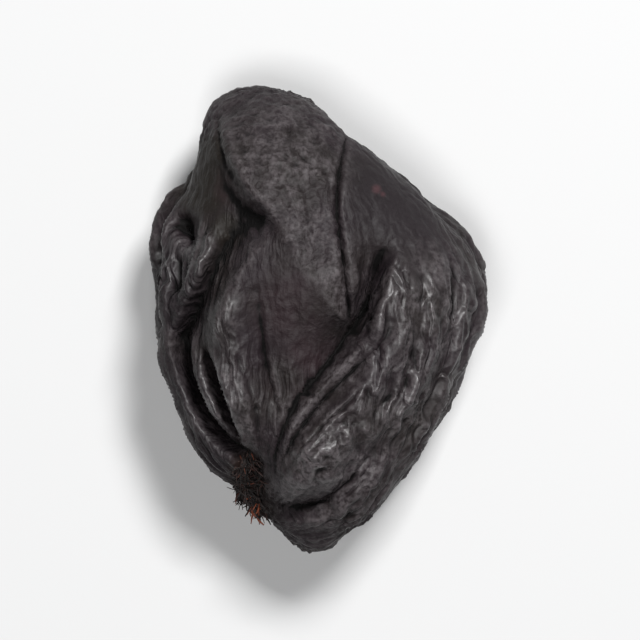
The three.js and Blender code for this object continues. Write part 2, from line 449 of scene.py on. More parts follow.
class SkinMesh:
    """A closed triangle mesh in millimetres, with the geometry that wrinkling needs."""

    JOIN_DISTANCE = 1e-7
    WEIGHT_LIMITS = (0.1, 2.0)

    def __init__(self, points: Array, faces: Array) -> None:
        """Keeps the mesh, and pairs its triangles along their edges.

        Args:
            points: The points.
            faces: The triangles, as rows of point numbers.
        """
        self.points = points
        self.faces = faces
        count = len(points)
        sides = np.concatenate([faces[:, [0, 1]], faces[:, [1, 2]], faces[:, [2, 0]]])
        sides.sort(axis=1)
        self.opposite = np.concatenate([faces[:, 2], faces[:, 0], faces[:, 1]])
        key = sides[:, 0] * count + sides[:, 1]
        _, first, self.edge_of_side = np.unique(key, return_index=True, return_inverse=True)
        self.edges = sides[first]
        start = np.concatenate([self.edges[:, 0], self.edges[:, 1]])
        end = np.concatenate([self.edges[:, 1], self.edges[:, 0]])
        order = np.argsort(start, kind="stable")
        valence = np.bincount(start, minlength=count)
        place = np.arange(len(start)) - np.repeat(np.cumsum(valence) - valence, valence)
        self.around = np.repeat(np.arange(count)[:, None], valence.max(), axis=1)
        self.spoke = np.full(self.around.shape, -1)
        self.around[start[order], place] = end[order]
        self.spoke[start[order], place] = order % len(self.edges)
        self.valence = valence

    @classmethod
    def of_object(cls, source: bpy.types.Object) -> "SkinMesh":
        """The mesh of an object whose loose triangles are joined first.

        Args:
            source: The object.

        Returns:
            Its mesh.
        """
        joined = bmesh.new()
        joined.from_mesh(source.data)
        bmesh.ops.remove_doubles(joined, verts=joined.verts, dist=cls.JOIN_DISTANCE)
        points = np.array([v.co for v in joined.verts]) / MM
        faces = np.array([[v.index for v in f.verts] for f in joined.faces])
        joined.free()
        return cls(points, faces)

    def averaged(self, values: Array) -> Array:
        """Each point's mean of its neighbours' values.

        Args:
            values: A number, or several, for each point.

        Returns:
            The means.
        """
        flat = (1,) * (values.ndim - 1)
        inside = (self.spoke >= 0).reshape(self.spoke.shape + flat)
        return (values[self.around] * inside).sum(axis=1) / self.valence.reshape((-1,) + flat)

    def smoothed(self, values: Array, rounds: int, share: float = 0.5) -> Array:
        """Values drawn towards their neighbours' mean.

        Args:
            values: A number, or several, for each point.
            rounds: How many times they are drawn.
            share: How far they go each time.

        Returns:
            The smoothed values.
        """
        for _ in range(rounds):
            values = values + share * (self.averaged(values) - values)
        return values

    def face_crosses(self) -> Array:
        """Outward normals of the triangles, as long as twice their areas."""
        corners = self.points[self.faces]
        return np.cross(corners[:, 1] - corners[:, 0], corners[:, 2] - corners[:, 0])

    def normals(self) -> Array:
        """Outward unit normals at the points.

        Returns:
            The normals.
        """
        across = self.face_crosses()
        total = np.zeros_like(self.points)
        for axis in range(3):
            for corner in range(3):
                total[:, axis] += np.bincount(self.faces[:, corner], across[:, axis], minlength=len(total))
        return total / np.linalg.norm(total, axis=1, keepdims=True)

    def refined(self) -> "SkinMesh":
        """The same surface with each triangle split in four, and smoothed as a subdivision surface is.

        Returns:
            The finer mesh.
        """
        count = len(self.points)
        far = np.zeros((len(self.edges), 3))
        for axis in range(3):
            far[:, axis] = np.bincount(self.edge_of_side, self.points[self.opposite, axis])
        near = self.points[self.edges[:, 0]] + self.points[self.edges[:, 1]]
        middles = near * 3 / 8 + far / 8
        kept = self.points + 3 / 8 * (self.averaged(self.points) - self.points)
        a, b, c = self.faces.T
        ab, bc, ca = self.edge_of_side.reshape(3, -1) + count
        split = [(a, ab, ca), (b, bc, ab), (c, ca, bc), (ab, bc, ca)]
        faces = np.concatenate([np.stack(corner, axis=1) for corner in split])
        return SkinMesh(np.concatenate([kept, middles]), faces)

    def areas(self) -> Array:
        """Area that belongs to each point, in square millimetres."""
        shares = np.linalg.norm(self.face_crosses(), axis=1) / 6
        return np.bincount(self.faces.ravel(), np.repeat(shares, 3))

    def spoke_weights(self) -> Array:
        """Cotangent weights, which make differences between neighbours a second derivative.

        Returns:
            The weights by point and neighbour.
        """
        corners = self.points[self.faces]
        cotangents = []
        for corner in (2, 0, 1):
            one = corners[:, corner - 2] - corners[:, corner]
            two = corners[:, corner - 1] - corners[:, corner]
            cotangents.append((one * two).sum(axis=1) / np.linalg.norm(np.cross(one, two), axis=1))
        weights = np.bincount(self.edge_of_side, np.concatenate(cotangents)) / 2
        return np.where(self.spoke >= 0, np.clip(weights, *self.WEIGHT_LIMITS)[self.spoke], 0)

    def stretched(self, heights: Array, hold: Array, rounds: int = 350) -> Array:
        """Heights of a film that is stretched over the surface, by conjugate gradients.

        Args:
            heights: Where the film is held, above the surface.
            hold: How firmly it is held at each point, per square millimetre.
            rounds: Number of steps.

        Returns:
            The film's heights.
        """
        weights = self.spoke_weights()
        hold = hold * self.areas()
        total = weights.sum(axis=1) + hold
        film = np.zeros(len(total))
        left = hold * heights
        eased = left / total
        aim, size = eased, left @ eased
        for _ in range(rounds):
            pull = total * aim - np.einsum("vn,vn->v", weights, aim[self.around])
            step = size / (aim @ pull)
            film = film + step * aim
            left = left - step * pull
            eased = left / total
            size, last = left @ eased, size
            aim = eased + size / last * aim
        return film


class Relief(Enum):
    """How a patch of skin dries: growth of its coarse and middle wrinkles, its crumple and its crinkle."""

    SMOOTH = (-0.4, -0.4, 0.15, 0.45)
    STIPPLED = (-0.4, -0.3, 0.1, 1.2)
    KNOBBLY = (0.1, 0.4, 0.3, 1.4)
    PUCKERED = (0.0, 0.15, 1.0, 0.1)
    PLEATED = (-0.3, -0.1, 0.5, 0.5)
    LOOSE = (0.6, 0.6, 0.8, 0.5)


@dataclass(frozen=True)
class Fold:
    """A crest or a valley of the upper face: a route in the plan, with the skin's height along it."""

    name: str
    route: Route
    width: float = 0.14
    grip: float = 120.0
    reach: float = 3.0

    def held(self, mesh: SkinMesh, upper: Array) -> tuple[Array, Array]:
        """How the fold holds the skin.

        Args:
            mesh: The surface.
            upper: 1 on the upper face and 0 below.

        Returns:
            How firmly each point is held, and that grip times the height that it is held at.
        """
        near, off, height = beside(mesh.points[:, :2], smooth_route(self.route), self.reach * self.width)
        hold, pull = np.zeros(len(mesh.points)), np.zeros(len(mesh.points))
        hold[near] = self.grip * np.exp(-((off / self.width) ** 2)) * upper[near]
        pull[near] = hold[near] * height
        return hold, pull


@dataclass(frozen=True)
class Slit:
    """A thin crease of the upper face: a route in the plan, with its depth along it, in millimetres."""

    name: str
    route: Route
    width: float = 0.2
    lip: float = 0.1
    lip_place: float = 2.2
    bluntness: float = 1.5
    reach: float = 7.0

    def heights(self, mesh: SkinMesh, upper: Array) -> Array:
        """How far it lifts the points.

        Args:
            mesh: The surface.
            upper: 1 on the upper face and 0 below.

        Returns:
            Heights in millimetres.
        """
        near, off, depth = beside(mesh.points[:, :2], smooth_route(self.route), self.reach * self.width)
        steps = off / self.width
        section = self.lip * np.exp(-((steps - self.lip_place) ** 2)) - np.exp(-(steps**self.bluntness))
        heights = np.zeros(len(mesh.points))
        heights[near] = depth * section * upper[near]
        return heights


@dataclass(frozen=True)
class Swell:
    """A broad swelling or hollow of the upper face, in millimetres."""

    centre: Span
    radii: Span
    height: float

    def heights(self, mesh: SkinMesh, upper: Array) -> Array:
        """How far it lifts the points, where upper is 1 on the upper face and 0 below."""
        off = ((mesh.points[:, :2] - self.centre) / self.radii) ** 2
        return self.height * np.exp(-off.sum(axis=1)) * upper


@dataclass(frozen=True)
class Patch:
    """A round patch of the upper face that dries in its own way, in millimetres of the plan."""

    centre: Span
    radius: float
    relief: Relief
    edge: Span = (1.3, 0.6)

    def share(self, plan: Array) -> Array:
        """How far each point of the plan belongs to the patch, from 0 to 1."""
        return ramp(*self.edge, np.linalg.norm(plan - self.centre, axis=1) / self.radius)


@dataclass(frozen=True)
class Stain:
    """A tint or a sheen of the upper face, as round spots: x, y and radius in millimetres of the plan."""

    name: str
    spots: Route
    edge: Span = (1.4, 0.4)

    def share(self, plan: Array) -> Array:
        """How strong it is at each point of the plan, from 0 to 1."""
        off = [np.linalg.norm(plan - spot[:2], axis=1) / spot[2] for spot in self.spots]
        return ramp(*self.edge, np.min(off, axis=0))


@dataclass(frozen=True)
class Wrinkling:
    """One size of wrinkle that the skin buckles into, in millimetres."""

    name: str
    wavelength: float
    height: float
    combing: float
    seed: int
    span: float = 22.0
    uneven: float = 0.22
    uneven_waves: int = 5
    patchy: float = 0.25
    patchy_waves: int = 4
    start: float = 0.2
    stiffness_limit: float = 1.3
    step_share: float = 1.7
    comb_power: int = 4
    crest_power: float = 1.7

    def buckle(self, mesh: SkinMesh, growth: Array, grain: Array) -> Array:
        """Lets the skin buckle: waves of one length grow on the mesh until their own height stops them.

        Args:
            mesh: The surface.
            growth: How strongly wrinkles grow at each point; below 0 they die out.
            grain: Unit directions that the wrinkles like to follow.

        Returns:
            Heights in millimetres, to move the points along their normals.
        """
        widths = clouds(mesh.points, self.uneven_waves * self.wavelength, self.seed)
        widths = np.exp(self.uneven * widths)
        reach = (self.wavelength / (2 * math.pi)) ** 2
        weights = mesh.spoke_weights() * (widths * reach / mesh.areas())[:, None]
        total = weights.sum(axis=1, keepdims=True)
        weights *= np.minimum(1, self.stiffness_limit * np.median(total) / total)
        patches = clouds(mesh.points, self.patchy_waves * self.wavelength, self.seed + 1)
        growth = growth + self.patchy * patches
        spokes = mesh.points[mesh.around] - mesh.points[:, None]
        lengths = np.linalg.norm(spokes, axis=2)
        along = np.einsum("vnk,vk->vn", spokes, grain) / np.where(lengths > 0, lengths, 1)
        combed = self.combing * weights * along**self.comb_power
        total, combed_total = weights.sum(axis=1), combed.sum(axis=1)
        step = self.step_share / ((2 * total.max() - 1) ** 2 + 2 * combed_total.max())
        bend = np.random.default_rng(self.seed).normal(0, self.start, len(mesh.points))
        table = mesh.around
        for _ in range(int(self.span / step)):
            curved = bend + np.einsum("vn,vn->v", weights, bend[table]) - total * bend
            stiff = curved + np.einsum("vn,vn->v", weights, curved[table]) - total * curved
            comb = np.einsum("vn,vn->v", combed, bend[table]) - combed_total * bend
            bend = bend + step * (growth * bend - stiff + comb - bend**3)
        crested = np.clip(bend / 2 + 0.5, 0, 1) ** self.crest_power
        return self.height * (crested - 0.5**self.crest_power) * 2


@dataclass
class PlumSkin:
    """The skin: refined from the solid, wrinkled, folded, crumpled and painted. In millimetres."""

    stem_pole: Place = (-0.3, -0.9, 0.15)
    blossom_pole: Place = (-0.3, 0.95, 0.1)
    rest_clear: Span = (0.2, 1.6)
    flank_height: Span = (5.0, 9.0)
    flank_relief: Relief = Relief.LOOSE
    face_relief: Relief = Relief.PLEATED
    layers: tuple[Wrinkling, ...] = (
        Wrinkling("coarse", wavelength=3.2, height=0.4, combing=1.6, seed=3),
        Wrinkling("middle", wavelength=1.6, height=0.22, combing=0.8, seed=5),
    )
    plain_tilt: Span = (0.1, 0.45)
    plain_rounds: int = 60
    tilt_rounds: int = 20
    face_tilt: Span = (0.0, 0.3)
    face_height: Span = (4.0, 6.5)
    slack: float = 3.2
    fold_height: float = 2.6
    fold_rounds: int = 2
    upright: float = 3.0
    axis_side: float = -3.9
    girth: float = 10.0
    squeeze: float = 0.19
    drift: float = 0.12
    drift_size: float = 2.6
    seed: int = 4
    crumple_size: float = 1.05
    crumple_height: float = 0.46
    crumple_level: float = -0.5
    crumple_creases: tuple[Crease, ...] = (
        Crease(weight=0.5, size=1.0, steep=4.5),
        Crease(weight=0.4, size=0.6, steep=4.5, seed=7),
        Crease(weight=0.45, size=1.2),
        Crease(weight=0.25, size=0.7),
        Crease(weight=-0.5, size=1.1, steep=7.0, seed=13),
    )
    crinkle_size: float = 2.4
    crinkle_height: float = 0.17
    crinkle_level: float = -1.2
    crinkle_creases: tuple[Crease, ...] = (
        Crease(weight=0.7, size=1.0),
        Crease(weight=0.5, size=0.45),
        Crease(weight=-0.3, size=0.8, steep=8.0, seed=21),
    )
    grain_weight: float = 1.8
    grain_share: float = 0.27
    cavity_depth: float = 0.16
    cavity_rounds: int = 24
    hollow_depth: float = 0.6
    hollow_reach: float = 1.2
    hollow_rounds: int = 130
    flank_tilt: Span = (0.3, -0.05)
    stain_tilt: Span = (-0.1, 0.2)
    swells: tuple[Swell, ...] = (
        Swell((8.6, 0.4), (3.4, 6.0), 0.5),
        Swell((0.4, -12.0), (3.6, 2.6), 1.4),
        Swell((-1.2, -12.3), (0.8, 0.7), 0.5),
        Swell((-2.2, -13.3), (1.2, 1.0), 0.8),
        Swell((-0.3, -10.6), (0.7, 0.8), 0.45),
        Swell((0.9, -10.1), (0.7, 0.7), 0.55),
        Swell((2.0, -9.0), (0.7, 0.6), 0.5),
        Swell((3.8, -8.6), (0.8, 0.8), 0.6),
        Swell((3.2, -6.9), (0.8, 0.9), 0.45),
        Swell((1.0, -12.0), (0.9, 0.6), 0.35),
        Swell((-6.9, 0.2), (1.6, 1.9), 0.5),
        Swell((-10.6, 7.3), (0.8, 0.85), -2.3),
        Swell((-10.2, 6.3), (0.55, 0.65), -1.8),
        Swell((-2.5, 12.5), (4.0, 4.0), 0.3),
        Swell((-5.4, -13.2), (1.2, 2.0), -1.8),
    )
    folds: tuple[Fold, ...] = (
        Fold("crown_ridge", (
            (-7.6, 17.0, 0.25), (-7.2, 15.4, 0.55), (-6.8, 13.2, 0.75), (-6.1, 11.4, 0.8),
            (-5.2, 9.7, 0.65), (-4.0, 8.6, 0.4), (-2.9, 7.3, 0.25), (-2.4, 5.8, 0.2),
        )),
        Fold("facet_side", ((-10.2, 13.4, -0.4), (-10.9, 10.6, -0.5), (-9.6, 8.4, -0.2))),
        Fold("crown_foot", ((-7.8, 12.2, 0.1), (-7.2, 10.6, -0.15), (-6.1, 9.0, -0.35), (-4.6, 7.9, -0.4))),
        Fold("left_valley", (
            (-4.6, 7.9, -0.4), (-6.6, 6.7, -0.6), (-8.4, 4.0, -0.65), (-10.0, 0.5, -0.75),
            (-10.9, -1.3, -0.9), (-10.5, -3.8, -1.1), (-9.6, -6.2, -1.1), (-8.0, -8.6, -0.9),
            (-6.0, -10.3, -0.8),
        ), width=0.22),
        Fold("bump_crest", (
            (-3.6, 6.8, 0.05), (-5.4, 4.8, 0.25), (-7.0, 2.0, 0.35), (-7.8, -0.4, 0.35), (-7.7, -2.4, 0.25),
        )),
        Fold("shoulder_ridge", (
            (-8.6, 6.2, 0.0), (-9.4, 3.9, 0.15), (-10.6, 1.8, 0.1), (-11.6, -0.4, 0.1),
        ), width=0.3),
        Fold("shoulder_hollow", ((-10.7, 5.0, -0.4), (-11.2, 2.4, -0.5)), width=0.3),
        Fold("left_rim", (
            (-12.4, 1.8, 0.2), (-12.0, -1.6, 0.3), (-11.3, -4.7, 0.2), (-9.8, -8.4, 0.2),
            (-8.3, -10.2, 0.2), (-6.8, -11.4, 0.1),
        ), width=0.26),
        Fold("pleat_one", (
            (-9.8, -1.8, -0.2), (-9.3, -4.5, 0.1), (-8.1, -7.3, 0.1), (-6.8, -9.4, -0.2),
        ), width=0.26),
        Fold("pleat_one_valley", (
            (-9.1, -2.4, -0.3), (-8.4, -4.5, -1.1), (-7.3, -7.0, -1.1), (-6.3, -9.2, -0.7),
        )),
        Fold("pleat_two", (
            (-8.0, -2.4, 0.25), (-7.4, -4.6, 0.42), (-6.8, -6.9, 0.42), (-5.9, -9.6, 0.05),
        ), width=0.24),
        Fold("pleat_two_roll", (
            (-7.2, -2.4, 0.2), (-6.5, -4.6, 0.33), (-5.9, -6.9, 0.33), (-5.3, -9.8, 0.0),
        ), width=0.24),
        Fold("pleat_two_foot", (
            (-6.2, -2.8, 0.02), (-5.5, -4.8, -0.05), (-5.0, -7.0, -0.08), (-4.7, -9.4, -0.2),
        )),
        Fold("pleat_two_valley", (
            (-4.9, 2.2, -0.1), (-4.6, -0.4, -0.35), (-4.3, -3.0, -0.6), (-3.9, -5.3, -0.6),
            (-3.3, -7.2, -0.4), (-3.4, -9.6, -0.3),
        )),
        Fold("tongue_ridge", ((-2.7, 5.8, 0.15), (-1.4, 4.2, 0.22), (0.2, 2.2, 0.22), (1.8, 0.2, 0.1))),
        Fold("branch", (
            (4.9, 5.2, -0.3), (4.1, 3.0, -0.9), (3.2, 0.1, -1.1), (2.0, -1.3, -1.2), (0.3, -3.8, -0.9),
            (-1.5, -6.0, -0.6), (-2.7, -8.3, -0.5), (-3.6, -10.7, -0.4), (-4.0, -12.6, -0.3),
        )),
        Fold("wedge", ((2.6, 6.0, 0.1), (2.7, 3.0, 0.05), (2.4, 1.0, -0.4))),
        Fold("cheek_crest", ((5.9, 4.9, 0.15), (5.2, 2.6, 0.3), (4.6, 0.2, 0.3), (4.3, -1.3, 0.1))),
        Fold("strip_crest", (
            (4.0, -1.3, 0.05), (3.2, -2.1, -0.1), (0.9, -4.5, -0.1), (-1.4, -7.1, -0.1), (-2.9, -9.5, -0.1),
        )),
        Fold("twin", (
            (5.6, -0.8, 0.0), (4.6, -2.0, -0.1), (2.0, -4.5, -0.35), (-0.3, -6.9, -0.35),
            (-2.1, -9.3, -0.3), (-3.1, -11.4, -0.2),
        )),
        Fold("lobe_edge", (
            (4.8, -3.4, 0.1), (3.0, -5.6, 0.2), (0.9, -7.7, 0.25), (-0.9, -9.9, 0.25), (-2.2, -12.3, 0.1),
        )),
        Fold("lobe_crease", (
            (-3.3, -14.6, -0.4), (-1.6, -14.7, -0.6), (0.3, -14.2, -0.6), (2.0, -12.7, -0.45),
            (3.2, -11.2, -0.25), (4.2, -9.8, -0.1),
        )),
        Fold("lobe_rim", ((-2.4, -16.0, 0.1), (0.8, -15.5, 0.2), (3.2, -13.2, 0.2), (5.4, -10.8, 0.15))),
        Fold("cheek_ridge_one", ((6.5, 4.0, 0.1), (6.7, 0.6, 0.1), (5.9, -2.8, 0.1), (4.4, -5.8, 0.1))),
        Fold("cheek_valley_one", (
            (7.9, 4.4, 0.0), (7.8, 0.6, -0.1), (7.1, -3.0, -0.15), (5.4, -6.2, -0.1),
        )),
        Fold("cheek_ridge_two", (
            (9.4, 4.8, 0.1), (9.2, 1.2, 0.1), (8.6, -2.4, 0.1), (7.2, -5.9, 0.15), (5.2, -8.4, 0.1),
        )),
        Fold("cheek_valley_two", (
            (10.6, 4.4, 0.0), (10.3, 0.6, -0.2), (9.7, -2.7, -0.2), (8.3, -6.2, -0.15), (6.3, -9.2, -0.05),
        )),
        Fold("cheek_ridge_three", (
            (11.6, 4.0, 0.1), (11.3, 0.3, 0.2), (10.6, -3.0, 0.2), (9.1, -6.8, 0.15), (6.9, -10.2, 0.1),
        )),
    )
    slits: tuple[Slit, ...] = (
        Slit("suture", (
            (2.2, 15.4, 0.0), (1.9, 13.6, 0.5), (1.5, 11.4, 0.8), (1.3, 8.9, 0.8), (1.6, 5.9, 0.9),
            (2.0, 2.9, 0.9), (2.3, 0.2, 1.0),
        ), width=0.19, lip=0.08),
        Slit("crown_line", (
            (-7.8, 16.6, 0.1), (-7.7, 14.4, 0.35), (-7.3, 12.4, 0.5), (-6.5, 10.8, 0.5), (-5.2, 9.4, 0.3),
            (-4.2, 8.6, 0.1),
        )),
        Slit("suture_foot", (
            (3.4, 1.0, 0.2), (2.2, -1.1, 0.8), (0.3, -3.8, 0.7), (-1.5, -6.0, 0.5), (-2.7, -8.3, 0.4),
            (-3.6, -10.7, 0.2),
        )),
        Slit("branch_line", (
            (5.0, 5.4, 0.1), (4.3, 3.4, 0.8), (3.5, 1.0, 0.9), (2.5, -0.7, 0.6),
        ), width=0.34),
        Slit("twin_line", (
            (5.4, -1.1, 0.0), (4.4, -2.2, 0.15), (2.0, -4.5, 0.5), (-0.3, -6.9, 0.5), (-2.1, -9.3, 0.4),
            (-3.1, -11.4, 0.2),
        ), width=0.14, lip=0.2),
        Slit("lobe_side", (
            (3.4, -4.9, 0.0), (2.2, -6.4, 0.35), (0.4, -8.0, 0.35), (-1.2, -9.8, 0.3), (-2.6, -11.7, 0.1),
        ), width=0.14, lip=0.2),
        Slit("valley_line", ((-8.4, 4.0, 0.0), (-10.0, 0.5, 0.4), (-10.9, -1.3, 0.6)), width=0.3),
        Slit("pleat_line", (
            (-10.9, -1.3, 0.5), (-10.5, -3.8, 1.0), (-9.6, -6.2, 1.0), (-8.0, -8.6, 0.6), (-6.6, -9.9, 0.2),
        ), width=0.3),
        Slit("pleat_one_line", (
            (-9.1, -2.4, 0.1), (-8.4, -4.5, 1.0), (-7.3, -7.0, 1.0), (-6.3, -9.2, 0.4),
        ), width=0.3),
        Slit("pleat_two_line", (
            (-4.9, 1.8, 0.0), (-4.6, -0.4, 0.15), (-4.3, -3.0, 0.4), (-3.9, -5.3, 0.5), (-3.3, -7.2, 0.2),
        )),
        Slit("lobe_line", (
            (-1.8, -14.7, 0.2), (0.3, -14.2, 0.5), (2.0, -12.7, 0.3), (3.6, -10.7, 0.1),
        ), width=0.18),
    )
    patches: tuple[Patch, ...] = (
        Patch((-2.9, 12.5), 6.0, Relief.STIPPLED),
        Patch((0.0, 6.0), 3.0, Relief.STIPPLED),
        Patch((-9.0, 10.5), 3.0, Relief.SMOOTH),
        Patch((-11.0, 4.6), 3.0, Relief.PUCKERED),
        Patch((-2.2, 0.5), 4.5, Relief.SMOOTH),
        Patch((5.4, 9.4), 4.8, Relief.SMOOTH),
        Patch((8.4, 0.0), 5.2, Relief.PUCKERED),
        Patch((6.2, -5.2), 3.4, Relief.PUCKERED),
        Patch((8.6, 4.4), 1.7, Relief.SMOOTH),
        Patch((0.8, -10.8), 3.0, Relief.KNOBBLY),
        Patch((8.0, -8.0), 3.0, Relief.PUCKERED),
        Patch((2.6, -14.4), 2.6, Relief.PUCKERED),
        Patch((1.6, -4.4), 2.4, Relief.SMOOTH),
        Patch((-1.2, -8.0), 1.8, Relief.SMOOTH),
    )
    stains: tuple[Stain, ...] = (
        Stain("ruddy", ((-2.2, 1.0, 3.0), (-0.8, -2.6, 2.2), (-2.6, -5.6, 1.6), (-7.4, 10.4, 1.2))),
        Stain("olive", ((-9.2, 10.2, 2.6), (-8.6, 13.0, 1.6), (-7.4, 7.2, 1.4))),
        # Grey waxy dust, partly real and partly painted highlight on the pleat ridges and the lobe.
        Stain("bloom_and_highlight", (
            (-2.4, 13.2, 4.4), (1.6, -4.0, 2.0), (-1.2, -7.4, 1.6), (-0.6, 7.2, 2.4), (0.1, 5.0, 1.6),
            (0.8, 3.2, 1.1), (1.5, 1.7, 0.7), (8.8, 4.4, 1.8), (8.2, -0.4, 4.1), (5.8, -6.0, 3.0),
            (0.8, -10.6, 3.6), (-6.9, 0.2, 1.0), (2.6, -13.6, 2.6), (-1.2, -12.6, 1.9), (4.8, -11.6, 2.2),
            (0.4, -15.8, 1.6), (-6.8, -4.6, 0.9), (-6.3, -6.6, 0.9), (-5.8, -8.4, 0.7), (-9.2, -4.8, 0.7),
            (-8.6, -6.2, 0.6), (-8.0, -7.4, 0.6), (-2.4, -13.2, 1.6),
        )),
        # Painted highlight: extra pale dust on the lobe, the pleat ridges and two spots between them.
        Stain("painted_highlight", (
            (0.6, -11.0, 3.2), (-2.2, -13.0, 1.4), (-6.9, -4.6, 0.8), (-6.4, -6.2, 0.8), (-5.9, -8.0, 0.7),
            (1.4, -4.2, 1.4), (-1.0, -7.0, 1.4),
        )),
        # Painted shade: darker patches on the upper-right panel and along the left edge.
        Stain("painted_shade", ((5.8, 9.6, 5.0), (-11.6, 2.0, 3.4), (-11.2, -5.0, 2.8), (-8.6, -10.2, 2.2))),
        Stain("speck", ((4.4, 10.2, 0.36), (4.9, 9.8, 0.2))),
        Stain("scar", ((-5.9, -11.6, 1.3), (-5.5, -13.4, 1.7), (-5.2, -15.0, 1.4))),
        Stain("sheen", (
            (8.6, 0.0, 5.4), (6.0, -6.0, 3.6), (0.8, -10.4, 3.4), (-6.6, -0.4, 2.4), (-7.4, -6.0, 3.4),
            (-10.6, 5.0, 2.6),
        )),
    )

    def growth(self, mesh: SkinMesh, layer: int) -> Array:
        """How strongly one size of relief grows at each point.

        Args:
            mesh: The surface.
            layer: Number of the size, as in Relief.

        Returns:
            The growth at the points.
        """
        height = ramp(*self.flank_height, mesh.points[:, 2])
        upper = np.full(len(mesh.points), self.face_relief.value[layer])
        for patch in self.patches:
            upper += patch.share(mesh.points[:, :2]) * (patch.relief.value[layer] - upper)
        return upper * height + self.flank_relief.value[layer] * (1 - height)

    def grain(self, mesh: SkinMesh, normals: Array) -> Array:
        """Unit directions along the surface from the stem end to the blossom end.

        Args:
            mesh: The surface.
            normals: Its normals.

        Returns:
            The directions at the points.
        """
        low, high = mesh.points.min(axis=0), mesh.points.max(axis=0)
        outward = (mesh.points - (low + high) / 2) / ((high - low) / 2)
        outward /= np.linalg.norm(outward, axis=1, keepdims=True)
        total = np.zeros_like(outward)
        for pole, sign in ((self.blossom_pole, 1), (self.stem_pole, -1)):
            aim = np.array(pole) / np.linalg.norm(pole)
            towards = aim - (outward @ aim)[:, None] * outward
            total += sign * towards / np.linalg.norm(towards, axis=1, keepdims=True)
        total *= (high - low) / 2
        total -= (total * normals).sum(axis=1, keepdims=True) * normals
        return total / np.linalg.norm(total, axis=1, keepdims=True)

    def plain_face(self, mesh: SkinMesh) -> None:
        """Takes the solid's own wide folds off the upper face, which then gets them back with sharp edges.

        Args:
            mesh: The surface, which is changed.
        """
        low, high = mesh.points.min(axis=0), mesh.points.max(axis=0)
        outward = mesh.points - (low + high) / 2
        reach = np.linalg.norm(outward / (high - low), axis=1)
        upper = ramp(*self.plain_tilt, mesh.smoothed(mesh.normals()[:, 2], self.tilt_rounds))
        share = 1 + upper * (mesh.smoothed(reach, self.plain_rounds) / reach - 1)
        mesh.points = (low + high) / 2 + outward * share[:, None]

    def folded(self, mesh: SkinMesh, upper: Array) -> Array:
        """Heights of the upper face's folds: the skin hangs straight between its crests and valleys.

        Args:
            mesh: The surface.
            upper: 1 on the upper face and 0 below.

        Returns:
            Heights in millimetres.
        """
        hold = np.full(len(mesh.points), 1 / self.slack**2)
        pull = np.zeros(len(mesh.points))
        for fold in self.folds:
            grip, drawn = fold.held(mesh, upper)
            hold += grip
            pull += drawn
        film = mesh.smoothed(self.fold_height * mesh.stretched(pull / hold, hold), self.fold_rounds)
        LOG.info("folds: %s", ", ".join(form.name for form in (*self.folds, *self.slits)))
        return film + sum(form.heights(mesh, upper) for form in (*self.slits, *self.swells))

    def push(self, mesh: SkinMesh, heights: Array, normals: Array) -> None:
        """Moves the points along their normals, and leaves the spot that the plum rests on.

        Args:
            mesh: The surface, which is changed.
            heights: How far each point goes, in millimetres.
            normals: The surface's normals.
        """
        mesh.points += (heights * ramp(*self.rest_clear, mesh.points[:, 2]))[:, None] * normals
        mesh.points[:, 2] = np.maximum(mesh.points[:, 2], 0)

    def wrinkled(self) -> SkinMesh:
        """Refines the solid's surface, wrinkles it size by size and folds it.

        Returns:
            The surface.
        """
        mesh = SkinMesh.of_object(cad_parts[NODE])
        self.plain_face(mesh)
        for number, layer in enumerate(self.layers):
            normals = mesh.normals()
            heights = layer.buckle(mesh, self.growth(mesh, number), self.grain(mesh, normals))
            self.push(mesh, heights, normals)
            mesh = mesh.refined()
            LOG.info("%s wrinkles, refined to %d points", layer.name, len(mesh.points))
        normals = mesh.smoothed(mesh.normals(), self.tilt_rounds)
        normals /= np.linalg.norm(normals, axis=1, keepdims=True)
        upper = ramp(*self.face_tilt, normals[:, 2]) * ramp(*self.face_height, mesh.points[:, 2])
        lift = normals + self.upright * upper[:, None] * np.array((0, 0, 1))
        self.push(mesh, self.folded(mesh, upper), lift / np.linalg.norm(lift, axis=1, keepdims=True))
        return mesh

    def combed(self, mesh: SkinMesh) -> Array:
        """Places on the skin, squeezed along its length, so that what they draw runs from end to end.

        Args:
            mesh: The surface.

        Returns:
            The places of its points.
        """
        x, y, z = mesh.points.T
        turn = np.arctan2(x - self.axis_side, z - (z.min() + z.max()) / 2)
        return np.stack([self.girth * np.sin(turn), self.squeeze * y, self.girth * np.cos(turn)], axis=1)

    def crumple_tree(self) -> bpy.types.NodeTree:
        """Geometry nodes that crumple the skin: in folds from end to end, and in crinkles of no direction.

        Returns:
            The tree. Its sizes along the skin are in millimetres, as the skin's stored places are.
        """
        sizes = "Crumple Size", "Crumple Height", "Crinkle Size", "Crinkle Height", "Seed"
        root, size = start_tree("skin_crumple", dict.fromkeys(sizes, "Float"))

        def stored(name: str, kind: str = "FLOAT") -> Wire:
            """An attribute of the mesh."""
            settings = {"data_type": kind}
            return root.node("GeometryNodeInputNamedAttribute", settings, {"Name": name}, "Attribute")

        loose, wide, seed = stored("loose", "FLOAT_VECTOR"), size["Crinkle Size"], size["Seed"]
        folds = creased(stored("combed", "FLOAT_VECTOR"), self.crumple_creases, size["Crumple Size"], seed)
        grains = self.grain_weight * loose.noise(wide * self.grain_share, detail=1.0, seed=seed)
        grains = grains + creased(loose, self.crinkle_creases, wide, seed)
        lift = (folds + self.crumple_level) * size["Crumple Height"] * stored("crumple")
        lift = lift + (grains + self.crinkle_level) * size["Crinkle Height"] * stored("crinkle")
        offset = root.node("GeometryNodeInputNormal").scaled(lift)
        moved = root.node("GeometryNodeSetPosition", None, {"Geometry": size["Geometry"], "Offset": offset})
        return end_tree(root, moved, size["Material"])

